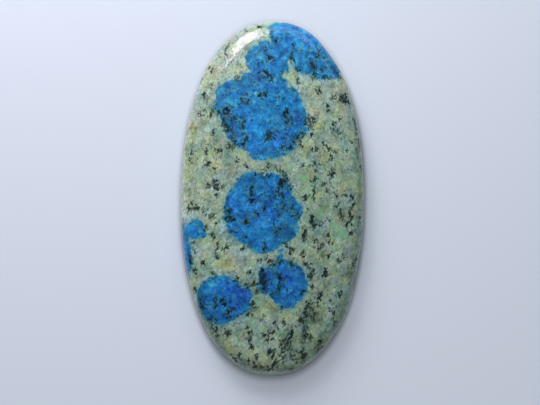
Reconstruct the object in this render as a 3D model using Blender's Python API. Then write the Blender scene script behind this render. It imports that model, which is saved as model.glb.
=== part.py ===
"""An oval cabochon of azurite in granite, ground and polished from one piece of rock.

Metres, +Z up. The stone lies on its flat back, crown up. The origin is the middle of the back,
Y runs along the length and X across the width.

The stone has no separate pieces: the blue azurite balls grew inside the granite, and both were
cut in one grind. So it is one closed solid, of these surfaces from the crown down:

    dome      a low, even dome over the whole face
    shoulder  the tight round between the dome and the side
    side      a steep band that leans inwards, so that a bezel could grip it
    bevel     the fine chamfer that keeps the back edge from chipping
    back      dead flat
"""

import math

import bmesh
import bpy
from mathutils import Vector

# The oval, seen from above
LENGTH = 0.0564
WIDTH = 0.0292
FULLNESS = 2.2  # 2 is a plain ellipse, and a higher value fills out the four corners

# The section, from the back up to the crown
THICKNESS = 0.0058
DOME_RISE = 0.0016  # how much lower the dome would be at the rim than at the crown
SIDE_TOP = 0.0024
SIDE_LEAN = 0.00028
SHOULDER_WIDTH = 0.0022
SHOULDER_TIGHTNESS = 2.3  # 2 is a plain quarter ellipse, and a higher value is a sharper round
BEVEL = 0.0003

# Where the hand that ground the rim left it full or flat: the direction from the middle in
# degrees, counted on the oval as on a circle from +X, the half width in degrees, and how far
# out it stands, in metres
RIM_UNEVENNESS = (
    (-38, 14, 0.00027),
    (-28, 4, -0.0003),
    (-21, 6, -0.00012),
    (53, 11, -0.0002),
    (138, 12, 0.0001),
)

# The mesh: rows of faces on each part of the surface
ROWS_ACROSS_FACE = 48
SHOULDER_ROWS = 8
SIDE_ROWS = 5
BEVEL_ROWS = 1

GRANITE_COLOUR = (0.21, 0.27, 0.22, 1.0)
POLISH_ROUGHNESS = 0.2


def rim_push(angle):
    """How far the rim stands out of the true oval in this direction."""
    push = 0.0
    for middle, half_width, amount in RIM_UNEVENNESS:
        away = math.degrees(angle) - middle
        away = (away + 180) % 360 - 180
        if abs(away) < half_width:
            push += amount * math.cos(math.pi / 2 * away / half_width) ** 2
    return push


def true_oval(angle):
    """A point of the superellipse that the stone was marked out from."""
    across, along = math.cos(angle), math.sin(angle)
    reach = (abs(across) ** FULLNESS + abs(along) ** FULLNESS) ** (-1 / FULLNESS)
    return Vector((WIDTH / 2 * across * reach, LENGTH / 2 * along * reach))


def outward(angle):
    """The direction square to the true oval at this angle."""
    step = 1e-4
    run = true_oval(angle + step) - true_oval(angle - step)
    return Vector((run.y, -run.x)).normalized()


def inset_oval(angle, inset):
    """A point this far inside the rim, measured square to it. The unevenness dies out inwards."""
    fade = 1 - inset / (SIDE_LEAN + SHOULDER_WIDTH)
    return true_oval(angle) + outward(angle) * (rim_push(angle) * fade - inset)


def dome_height(x, y):
    """The height of the dome, as if it ran on to the rim."""
    return THICKNESS - DOME_RISE * ((2 * x / WIDTH) ** 2 + (2 * y / LENGTH) ** 2)


def square_to_round(x, y):
    """The ring, 0 to 1, and the angle of a point of the cube's square face."""
    ring = max(abs(x), abs(y))
    if ring < 1e-9:
        return 0.0, 0.0
    if abs(x) >= abs(y):
        angle = math.pi / 4 * y / x + (math.pi if x < 0 else 0.0)
    else:
        angle = math.pi / 2 - math.pi / 4 * x / y + (math.pi if y < 0 else 0.0)
    return ring, angle


def on_dome(angle, share):
    """Share is 0 at the crown and 1 where the shoulder starts."""
    flat = inset_oval(angle, SIDE_LEAN + SHOULDER_WIDTH) * share
    return Vector((flat.x, flat.y, dome_height(flat.x, flat.y)))


def on_shoulder(angle, share):
    """Share is 0 at the dome and 1 at the top of the side."""
    power = 2 / SHOULDER_TIGHTNESS
    turn = math.pi / 2 * share
    inset = SIDE_LEAN + SHOULDER_WIDTH * (1 - math.sin(turn) ** power)
    flat = inset_oval(angle, inset)
    rise = max(math.cos(turn), 0.0) ** power
    height = SIDE_TOP + (dome_height(flat.x, flat.y) - SIDE_TOP) * rise
    return Vector((flat.x, flat.y, height))


def on_side(angle, share):
    """Share is 0 at the top of the side and 1 at the bevel."""
    flat = inset_oval(angle, SIDE_LEAN * (1 - share))
    return Vector((flat.x, flat.y, SIDE_TOP + (BEVEL - SIDE_TOP) * share))


def on_bevel(angle, share):
    """Share is 0 at the side and 1 at the back."""
    flat = inset_oval(angle, BEVEL * share)
    return Vector((flat.x, flat.y, BEVEL * (1 - share)))


def on_back(angle, share):
    """Share is 0 in the middle of the back and 1 at the bevel."""
    flat = inset_oval(angle, BEVEL) * share
    return Vector((flat.x, flat.y, 0.0))


def stone_point(cube_point):
    """Where a point of the gridded cube lands on the stone."""
    ring, angle = square_to_round(cube_point.x, cube_point.y)
    if cube_point.z > 1 - 1e-6:
        dome_share = 1 - 2 * SHOULDER_ROWS / ROWS_ACROSS_FACE
        if ring <= dome_share:
            return on_dome(angle, ring / dome_share)
        return on_shoulder(angle, (ring - dome_share) / (1 - dome_share))
    if cube_point.z < -1 + 1e-6:
        return on_back(angle, ring)
    down = (1 - cube_point.z) / 2
    side_share = SIDE_ROWS / (SIDE_ROWS + BEVEL_ROWS)
    if down <= side_share:
        return on_side(angle, down / side_share)
    return on_bevel(angle, (down - side_share) / (1 - side_share))


def is_upright(edge):
    start, end = edge.verts
    return abs(start.co.z - end.co.z) > 1e-6


def gridded_cube():
    """A cube whose top and bottom have square grids and whose sides have a few rows."""
    mesh = bmesh.new()
    bmesh.ops.create_cube(mesh, size=2.0)
    uprights = [edge for edge in mesh.edges if is_upright(edge)]
    rows = SIDE_ROWS + BEVEL_ROWS
    bmesh.ops.subdivide_edges(mesh, edges=uprights, cuts=rows - 1, use_grid_fill=True)
    levels = [edge for edge in mesh.edges if not is_upright(edge)]
    cuts = ROWS_ACROSS_FACE - 1
    bmesh.ops.subdivide_edges(mesh, edges=levels, cuts=cuts, use_grid_fill=True)
    return mesh


def granite_material():
    """The mean colour of the rock, with the shine of the polish."""
    material = bpy.data.materials.new("azurite_granite")
    material.use_nodes = True
    shader = material.node_tree.nodes["Principled BSDF"]
    shader.inputs["Base Color"].default_value = GRANITE_COLOUR
    shader.inputs["Roughness"].default_value = POLISH_ROUGHNESS
    shader.inputs["Metallic"].default_value = 0.0
    material.diffuse_color = GRANITE_COLOUR
    return material


def cabochon(collection):
    """The whole stone: the gridded cube, pressed to the oval and the section."""
    grid = gridded_cube()
    for vertex in grid.verts:
        vertex.co = stone_point(vertex.co)
    bmesh.ops.recalc_face_normals(grid, faces=grid.faces)
    mesh = bpy.data.meshes.new("cabochon")
    grid.to_mesh(mesh)
    grid.free()
    mesh.materials.append(granite_material())
    mesh.shade_smooth()
    mesh.set_sharp_from_angle(angle=math.radians(35))
    stone = bpy.data.objects.new("cabochon", mesh)
    collection.objects.link(stone)
    return stone


def clear_scene():
    for old in list(bpy.data.objects):
        bpy.data.objects.remove(old, do_unlink=True)


def main():
    clear_scene()
    collection = bpy.data.collections.new("azurite_granite_cabochon")
    bpy.context.scene.collection.children.link(collection)
    cabochon(collection)


main()
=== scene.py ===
"""The looks of an oval cabochon of azurite in granite, lying on its flat back.

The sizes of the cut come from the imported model. Here the same cut is made again with a finer
skin, the minerals are placed in it, the polish gets its pits, and the rock gets its colours.
The scene is in metres. Marks that were read off the photograph are in its pixels, 540 by 405
with the zero at the upper left corner, and other sizes in the tables are in millimetres.
"""

import math

import bpy
import numpy as np
from mathutils import Matrix, Quaternion, Vector


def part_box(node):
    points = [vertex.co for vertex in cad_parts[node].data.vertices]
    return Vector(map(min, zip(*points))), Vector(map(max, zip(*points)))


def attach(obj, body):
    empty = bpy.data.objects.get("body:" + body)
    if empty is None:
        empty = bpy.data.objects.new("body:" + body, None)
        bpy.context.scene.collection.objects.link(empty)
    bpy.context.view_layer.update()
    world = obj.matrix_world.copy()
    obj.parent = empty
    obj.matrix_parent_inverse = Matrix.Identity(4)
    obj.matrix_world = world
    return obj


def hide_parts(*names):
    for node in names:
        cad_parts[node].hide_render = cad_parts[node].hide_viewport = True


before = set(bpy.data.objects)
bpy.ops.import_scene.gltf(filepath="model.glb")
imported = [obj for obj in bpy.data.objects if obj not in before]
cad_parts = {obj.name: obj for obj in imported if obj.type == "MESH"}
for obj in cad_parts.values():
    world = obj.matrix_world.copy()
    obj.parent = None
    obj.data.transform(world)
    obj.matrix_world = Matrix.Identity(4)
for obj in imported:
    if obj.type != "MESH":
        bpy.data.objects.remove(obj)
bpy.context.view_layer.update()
MM = 0.001


# The camera looks down on the face of the stone, leaning a little towards its lower end. The
# stone nearly fills the height of the picture.
PICTURE_WIDTH, PICTURE_HEIGHT = 540, 405
CROWN_PIXEL = Vector((272.4, 192.7))
LENS, SENSOR = 85.0, 36.0
CAMERA_DISTANCE = 198 * MM
CAMERA_ELEVATION = 82.0
CAMERA_ROLL = 0.45
CROWN = Vector((0, 0, 4.6 * MM))

camera_data = bpy.data.cameras.new("camera")
camera_data.lens = LENS
camera_data.sensor_width = SENSOR
camera_data.clip_start = 0.01
camera = bpy.data.objects.new("camera", camera_data)
bpy.context.scene.collection.objects.link(camera)
bpy.context.scene.camera = camera
tilt = Matrix.Rotation(math.radians(90 - CAMERA_ELEVATION), 4, "X")
roll = Matrix.Rotation(math.radians(CAMERA_ROLL), 4, "Z")
retreat = Matrix.Translation((0, 0, CAMERA_DISTANCE))
camera.matrix_world = Matrix.Translation(CROWN) @ tilt @ roll @ retreat
camera_data.shift_x = -(CROWN_PIXEL.x - PICTURE_WIDTH / 2) / PICTURE_WIDTH
camera_data.shift_y = (CROWN_PIXEL.y - PICTURE_HEIGHT / 2) / PICTURE_WIDTH


# The stone is one piece of rock, sawn to an oval, ground to a low dome with a tight shoulder
# and a leaning side, and left with a flat back. The grinding was done by hand, so the rim
# stands out or falls short by a few tenths here and there. A gridded cube takes that form.
cad_low, cad_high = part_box("cabochon")
WIDTH = cad_high.x - cad_low.x
LENGTH = cad_high.y - cad_low.y
THICKNESS = cad_high.z - cad_low.z
CUT_SIZES = {
    "Width": WIDTH,
    "Length": LENGTH,
    "Thickness": THICKNESS,
    "Fullness": 2.2,
    "Dome Rise": 1.6 * MM,
    "Side Top": 2.4 * MM,
    "Side Lean": 0.28 * MM,
    "Shoulder Width": 2.2 * MM,
    "Shoulder Tightness": 2.3,
    "Bevel": 0.3 * MM,
    "Rows Across": 140,
    "Rows Along": 280,
    "Rows Down": 23,
}
SHOULDER_SHARE = 0.2  # of the rows from the crown to the rim
BEVEL_SHARE = 2 / 23  # of the rows down the side
# The polisher leaned longest on the upper left of the shoulder, which is broader and rounder
BROAD_SHOULDER = {"middle": 116, "half width": 62, "extra width": 0.9, "softer": 0.35}
RIM_UNEVENNESS = (
    (-38, 14, 0.27),
    (-28, 4, -0.3),
    (-21, 6, -0.12),
    (53, 11, -0.2),
    (138, 12, 0.1),
)


def feed(tree, value, entry):
    """Links a value to a socket of a node, or writes a plain number there."""
    if isinstance(value, Value):
        tree.links.new(value.socket, entry)
    elif isinstance(value, bpy.types.NodeSocket):
        tree.links.new(value, entry)
    else:
        entry.default_value = value


class Value:
    """A number that varies over the stone. Arithmetic on it adds Math nodes to its tree."""

    def __init__(self, tree, socket):
        self.tree = tree
        self.socket = socket

    def math(self, operation, *others):
        node = self.tree.nodes.new("ShaderNodeMath")
        node.operation = operation
        for entry, value in zip(node.inputs, (self, *others)):
            feed(self.tree, value, entry)
        return Value(self.tree, node.outputs[0])

    def __add__(self, other):
        return self.math("ADD", other)

    def __sub__(self, other):
        return self.math("SUBTRACT", other)

    def __mul__(self, other):
        return self.math("MULTIPLY", other)

    def __truediv__(self, other):
        return self.math("DIVIDE", other)

    def __pow__(self, other):
        return self.math("POWER", other)

    def __rsub__(self, other):
        return self * -1 + other

    def __rtruediv__(self, other):
        return self ** -1 * other

    def __abs__(self):
        return self.math("ABSOLUTE")

    __radd__ = __add__
    __rmul__ = __mul__

    def over(self, limit):
        return self.math("GREATER_THAN", limit)

    def within(self, low, high):
        return self.math("MAXIMUM", low).math("MINIMUM", high)

    def least(self, other):
        return self.math("MINIMUM", other)

    def most(self, other):
        return self.math("MAXIMUM", other)

    def rise(self, low, high):
        """0 up to low and 1 from high on, with a smooth step between them."""
        node = self.tree.nodes.new("ShaderNodeMapRange")
        node.interpolation_type = "SMOOTHSTEP"
        for entry, value in zip(node.inputs, (self, low, high, 0.0, 1.0)):
            feed(self.tree, value, entry)
        return Value(self.tree, node.outputs[0])

    def fall(self, low, high):
        return 1 - self.rise(low, high)


def parts_of(tree, vector):
    node = tree.nodes.new("ShaderNodeSeparateXYZ")
    feed(tree, vector, node.inputs[0])
    return [Value(tree, output) for output in node.outputs]


def joined(tree, x, y, z):
    node = tree.nodes.new("ShaderNodeCombineXYZ")
    for entry, value in zip(node.inputs, (x, y, z)):
        feed(tree, value, entry)
    return node.outputs[0]


def bulge(angle, middle, half_width):
    """1 in one direction from the middle of the stone, fading to 0 on both sides of it."""
    away = abs((angle * (180 / math.pi) - middle).math("WRAP", 180, -180)) / half_width
    return (away.within(0, 1) * (math.pi / 2)).math("COSINE") ** 2


def rim_push(angle):
    """How far the hand-ground rim stands out of the true oval in each direction."""
    push = angle * 0
    for middle, half_width, amount in RIM_UNEVENNESS:
        push = push + bulge(angle, middle, half_width) * (amount * MM)
    return push


def square_to_round(x, y):
    """The ring, 0 at the crown to 1, and the angle of a point of the cube's square face."""
    ring = abs(x).most(abs(y))
    sideways = 1 - abs(y).over(abs(x) + 1e-6)
    east = y / x * (math.pi / 4) + (x * -1).over(0) * math.pi
    north = math.pi / 2 - x / y * (math.pi / 4) + (y * -1).over(0) * math.pi
    return ring, east * sideways + north * (1 - sideways)


def cut_tree():
    """Geometry Nodes that make the whole cut. The inputs are named for its sizes."""
    tree = bpy.data.node_groups.new("cabochon_cut", "GeometryNodeTree")
    for name in CUT_SIZES:
        kind = "NodeSocketInt" if name.startswith("Rows") else "NodeSocketFloat"
        tree.interface.new_socket(name, in_out="INPUT", socket_type=kind)
    entry = tree.nodes.new("NodeGroupInput")
    size = {name: Value(tree, entry.outputs[name]) for name in CUT_SIZES}

    cube = tree.nodes.new("GeometryNodeMeshCube")
    cube.inputs["Size"].default_value = (2, 2, 2)
    feed(tree, size["Rows Across"] + 1, cube.inputs["Vertices X"])
    feed(tree, size["Rows Along"] + 1, cube.inputs["Vertices Y"])
    feed(tree, size["Rows Down"] + 1, cube.inputs["Vertices Z"])
    x, y, z = parts_of(tree, tree.nodes.new("GeometryNodeInputPosition").outputs[0])
    face, back = z.over(0.9999), (z * -1).over(0.9999)
    side = 1 - face - back
    ring, angle = square_to_round(x, y)

    full, half_width, half_length = size["Fullness"], size["Width"] / 2, size["Length"] / 2
    across, along = angle.math("COSINE"), angle.math("SINE")
    reach = (abs(across) ** full + abs(along) ** full) ** (-1 / full)
    steep_x = across.math("SIGN") * abs(across * reach) ** (full - 1) / half_width
    steep_y = along.math("SIGN") * abs(along * reach) ** (full - 1) / half_length
    steepness = (steep_x * steep_x + steep_y * steep_y).math("SQRT")

    broad = bulge(angle, BROAD_SHOULDER["middle"], BROAD_SHOULDER["half width"])
    shoulder = size["Shoulder Width"] + broad * (BROAD_SHOULDER["extra width"] * MM)
    power = 2 / (size["Shoulder Tightness"] - broad * BROAD_SHOULDER["softer"])
    bend = ((ring - 1) / SHOULDER_SHARE + 1).within(0, 1) * (math.pi / 2)
    face_inset = size["Side Lean"] + shoulder * (1 - bend.math("SINE") ** power)
    down = (1 - z) / 2
    down_side = (down / (1 - BEVEL_SHARE)).within(0, 1)
    down_bevel = ((down - 1) / BEVEL_SHARE + 1).within(0, 1)
    side_inset = size["Side Lean"] * (1 - down_side) + size["Bevel"] * down_bevel
    inset = face_inset * face + side_inset * side + size["Bevel"] * back
    fade = 1 - inset / (size["Side Lean"] + shoulder)
    out = rim_push(angle) * fade - inset
    share = (ring / (1 - SHOULDER_SHARE)).within(0, 1) * face + side + ring * back
    stone_x = (half_width * across * reach + steep_x / steepness * out) * share
    stone_y = (half_length * along * reach + steep_y / steepness * out) * share

    drop = (stone_x / half_width) ** 2 + (stone_y / half_length) ** 2
    dome = size["Thickness"] - size["Dome Rise"] * drop
    top = size["Side Top"]
    face_height = top + (dome - top) * bend.math("COSINE").within(0, 1) ** power
    side_height = top + (size["Bevel"] - top) * down_side - size["Bevel"] * down_bevel
    stone_z = face_height * face + side_height * side

    press = tree.nodes.new("GeometryNodeSetPosition")
    tree.links.new(cube.outputs["Mesh"], press.inputs["Geometry"])
    feed(tree, joined(tree, stone_x, stone_y, stone_z), press.inputs["Position"])
    finish_with(tree, press.outputs[0], rock)
    return tree


def finish_with(tree, geometry, material):
    """The end of a tree: smooth faces, no instances left, and the material on all of it."""
    smooth = tree.nodes.new("GeometryNodeSetShadeSmooth")
    real = tree.nodes.new("GeometryNodeRealizeInstances")
    coat = tree.nodes.new("GeometryNodeSetMaterial")
    coat.inputs["Material"].default_value = material
    tree.interface.new_socket("Stone", in_out="OUTPUT", socket_type="NodeSocketGeometry")
    leave = tree.nodes.new("NodeGroupOutput")
    tree.links.new(geometry, smooth.inputs[0])
    tree.links.new(smooth.outputs[0], real.inputs[0])
    tree.links.new(real.outputs[0], coat.inputs[0])
    tree.links.new(coat.outputs[0], leave.inputs[0])


def made_by(tree, values, start):
    """The plain mesh that a node tree makes of a start mesh with these inputs."""
    holder = bpy.data.objects.new("holder", start)
    bpy.context.scene.collection.objects.link(holder)
    nodes = holder.modifiers.new("build", "NODES")
    nodes.node_group = tree
    for item in tree.interface.items_tree:
        if item.in_out == "INPUT" and item.name in values:
            nodes[item.identifier] = values[item.name]
    bpy.context.view_layer.update()
    graph = bpy.context.evaluated_depsgraph_get()
    ready = holder.evaluated_get(graph)
    mesh = bpy.data.meshes.new_from_object(ready, preserve_all_data_layers=True, depsgraph=graph)
    bpy.data.objects.remove(holder, do_unlink=True)
    return mesh


rock = bpy.data.materials.new("azurite_granite")
cut = made_by(cut_tree(), CUT_SIZES, bpy.data.meshes.new("start"))
stone = bpy.data.objects.new("polished_stone", cut)
bpy.context.scene.collection.objects.link(stone)


# The azurite grew as balls inside the rock, up to a centimetre and more across, and the grind
# cut through them. A blue area is a few balls that grew into each other. Each row is the
# column and line of a ball's middle and its radius, in pixels, for balls cut at the face.
FACE_BALLS = (
    # the great ball, with its lobes to the left, the right and below
    (263, 113.5, 40.5),
    (236, 100.5, 21),
    (233, 117, 13),
    (283, 122, 23),
    (283, 142, 13),
    (304, 130, 4.5),
    (266, 135, 25),
    # the pair at the upper end, which meets the great ball in a neck
    (266, 61, 20),
    (279, 30, 10),
    (285, 56, 11.5),
    (313, 48, 28),
    (291, 38, 21),
    (285, 67, 4.8),
    (247, 77, 5),
    (322, 62, 18),
    (329, 67, 12.5),
    # the middle ball, with the trickle below it
    (258, 212, 34),
    (264, 229, 23),
    (282, 211, 18.5),
    (282, 226, 16),
    (272, 193, 19.5),
    (253, 192, 20),
    (281.5, 250, 3),
    (279.5, 257, 3),
    # the two lower balls
    (221, 299, 23.5),
    (229, 291, 12),
    (243.5, 295, 8.5),
    (241, 305, 8),
    (222, 310, 14),
    (233, 309, 10),
    (287, 284, 20.5),
    (284, 272, 12),
    (266, 276, 8.5),
    (266, 286, 8.5),
    (288, 298, 10.5),
    # the small one near the left rim
    (195, 229.5, 9.5),
    (202, 234, 5),
)
# Where the rock shows through between two balls
FACE_GAPS = (
    (291.5, 67, 2.8),
    (290, 82, 4),
    (255, 43, 4),
    (289.5, 62.5, 2.2),
)
# Balls cut by the side or the back, in millimetres from the middle of the back
INNER_BALLS = (
    (-19.4, -9.7, 3.2, 7.2),
    (3.5, 5.5, -0.4, 3.4),
    (-6.2, 14.0, 0.3, 2.6),
    (7.8, -12.5, -0.6, 3.9),
    (-3.0, -20.5, 0.2, 2.4),
    (-9.5, 2.5, -0.2, 1.7),
)
# Where the blue is deepest: column, line and radius in pixels, and how deep, 0 to 1
ROYAL_PATCHES = (
    (235, 137, 9, 0.9), (280, 141, 13, 0.9), (255, 149, 10, 0.6), (296, 118, 11, 0.6),
    (248, 120, 12, 0.4), (275, 60, 8, 0.6), (262, 77, 12, 0.5), (308, 38, 15, 0.6),
    (229, 200, 10, 0.7), (237, 210, 10, 0.7), (252, 203, 11, 0.8), (261, 218, 11, 0.8),
    (271, 213, 10, 0.8), (236, 230, 10, 0.7), (262, 244, 10, 0.5), (275, 184, 9, 0.6),
    (286, 194, 6, 1.4), (231, 287, 14, 1.2), (243, 294, 11, 2.1), (235, 308, 11, 1.1),
    (210, 303, 14, 0.6), (215, 318, 11, 0.7), (256, 212, 30, 0.3), (266, 276, 10, 1.8),
    (283, 272, 11, 0.9), (288, 284, 13, 0.9), (297, 274, 11, 0.7), (268, 286, 8, 1.2),
    (286, 300, 12, 0.6), (301, 286, 8, 0.4), (192, 228, 7, 0.7),
)
# Where it is palest, towards cyan
CYAN_PATCHES = (
    (236, 100, 13, 0.7), (272, 104, 18, 0.9), (262, 122, 12, 0.5), (262, 57, 11, 0.6),
    (300, 60, 16, 0.6), (252, 188, 12, 0.8), (283, 203, 11, 0.7), (256, 232, 10, 0.5),
    (281, 30, 12, 0.6), (220, 100, 12, 0.5), (262, 106, 34, 0.5), (312, 48, 26, 0.6),
    (266, 58, 20, 0.5), (330, 66, 12, 0.5), (221, 286, 12, 0.3),
)
# Where it is brighter as a whole
BRIGHT_PATCHES = (
    (306, 44, 20, 0.6), (252, 128, 9, 0.6), (262, 139, 10, 0.5), (286, 151, 8, 0.7),
    (250, 235, 8, 0.4), (190, 224, 8, 0.8), (215, 282, 11, 0.8), (288, 284, 7, 0.2),
    (274, 186, 7, 0.5), (262, 60, 8, 0.3), (227, 284, 8, 0.5),
)
# Where it is duller
DULL_PATCHES = (
    (226, 123, 13, 1), (238, 134, 11, 0.8), (299, 120, 13, 0.8), (298, 137, 9, 0.7),
    (262, 102, 8, 0.4), (276, 112, 9, 0.6), (287, 116, 9, 0.6), (274, 200, 9, 0.6),
    (285, 208, 11, 0.8), (250, 219, 11, 0.8), (286, 233, 12, 0.9), (299, 221, 9, 0.6),
    (263, 281, 11, 0.9), (273, 272, 10, 0.9), (299, 270, 10, 0.7), (299, 284, 9, 0.4),
    (239, 295, 10, 0.8), (202, 298, 11, 0.8), (214, 318, 11, 0.7), (275, 294, 9, 0.7),
    (286, 303, 10, 0.6), (334, 66, 10, 0.8), (238, 82, 10, 0.6), (262, 79, 8, 0.4),
    (246, 184, 10, 0.4), (226, 101, 8, 0.3), (299, 66, 7, 0.4), (267, 107, 8, 0.5),
    (260, 183, 9, 0.5), (294, 93, 9, 0.5), (278, 237, 9, 0.5), (236, 128, 8, 0.4),
)
# Where olive and dark crumbs lie thick in it
CRUMB_PATCHES = (
    (251, 191, 9, 1), (251, 201, 8, 0.7), (265, 197, 7, 0.8), (277, 196, 8, 1),
    (285, 203, 9, 0.9), (282, 186, 8, 1), (229, 211, 8, 0.8), (246, 222, 8, 0.8),
    (265, 209, 7, 0.7), (236, 230, 9, 0.7), (263, 243, 8, 0.5), (276, 231, 8, 0.7),
    (291, 214, 8, 0.6), (245, 98, 9, 0.7), (262, 95, 9, 0.9), (228, 115, 10, 0.8),
    (240, 121, 7, 0.5), (268, 137, 8, 0.7), (289, 121, 9, 0.7), (276, 106, 7, 0.5),
    (231, 143, 7, 0.7), (301, 133, 6, 0.7), (270, 58, 8, 0.7), (294, 48, 7, 0.5),
    (313, 66, 9, 0.8), (277, 38, 8, 0.6), (327, 72, 8, 0.6), (262, 71, 9, 0.5),
    (216, 301, 8, 0.7), (229, 311, 7, 0.7), (204, 304, 9, 0.6), (262, 278, 8, 0.9),
    (281, 283, 8, 0.7), (292, 265, 7, 0.6), (243, 291, 7, 0.4), (235, 89, 6, 0.8),
    (232, 103, 7, 0.8), (263, 106, 7, 0.8), (257, 57, 6, 0.8), (301, 46, 6, 0.8),
    (325, 57, 7, 0.8), (317, 47, 6, 0.6), (306, 38, 6, 0.6), (288, 289, 6, 0.6),
)


def sight(column, line):
    """The direction in which the camera sees a pixel."""
    across = (column - CROWN_PIXEL.x) / PICTURE_WIDTH * SENSOR / LENS
    up = -(line - CROWN_PIXEL.y) / PICTURE_WIDTH * SENSOR / LENS
    return (camera.matrix_world.to_3x3() @ Vector((across, up, -1))).normalized()


def on_stone(column, line):
    """The point of the stone in a pixel, or the nearest of its rim, in metres."""
    eye, way = camera.matrix_world.translation, sight(column, line)
    hit, place, _, _ = stone.ray_cast(eye, way)
    if not hit:
        beside = eye - way * ((eye.z - MM) / way.z)
        _, place, _, _ = stone.closest_point_on_mesh(beside)
    return place


PIXEL = 29.2 / 184 * MM
skin = np.empty(len(cut.vertices) * 3)
cut.vertices.foreach_get("co", skin)
skin = skin.reshape(-1, 3)


def away_from(place):
    return np.linalg.norm(skin - np.array(place), axis=1)


def keep(name, values):
    """Stores one number for each point of the mesh."""
    layer = cut.attributes.new(name, "FLOAT", "POINT")
    layer.data.foreach_set("value", values.astype(np.float32))


bpy.context.view_layer.update()
azurite = np.full(len(skin), 9 * MM)
for column, line, radius in FACE_BALLS:
    azurite = np.minimum(azurite, away_from(on_stone(column, line)) - radius * PIXEL)
for x, y, z, radius in INNER_BALLS:
    azurite = np.minimum(azurite, away_from((x * MM, y * MM, z * MM)) - radius * MM)
for column, line, radius in FACE_GAPS:
    azurite = np.maximum(azurite, radius * PIXEL - away_from(on_stone(column, line)))
keep("azurite", azurite / MM)


def stains(rows):
    """How strong the patches of a table are at each point, fading out at their rims."""
    weight = np.zeros(len(skin))
    for column, line, radius, strength in rows:
        near = 1 - away_from(on_stone(column, line)) / (radius * PIXEL)
        weight = np.maximum(weight, np.clip(near * 1.6, 0, 1) * strength)
    return weight


keep("royal", stains(ROYAL_PATCHES) - stains(CYAN_PATCHES))
keep("brightness", stains(BRIGHT_PATCHES) - stains(DULL_PATCHES))
keep("crumbs", stains(CRUMB_PATCHES))


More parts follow.
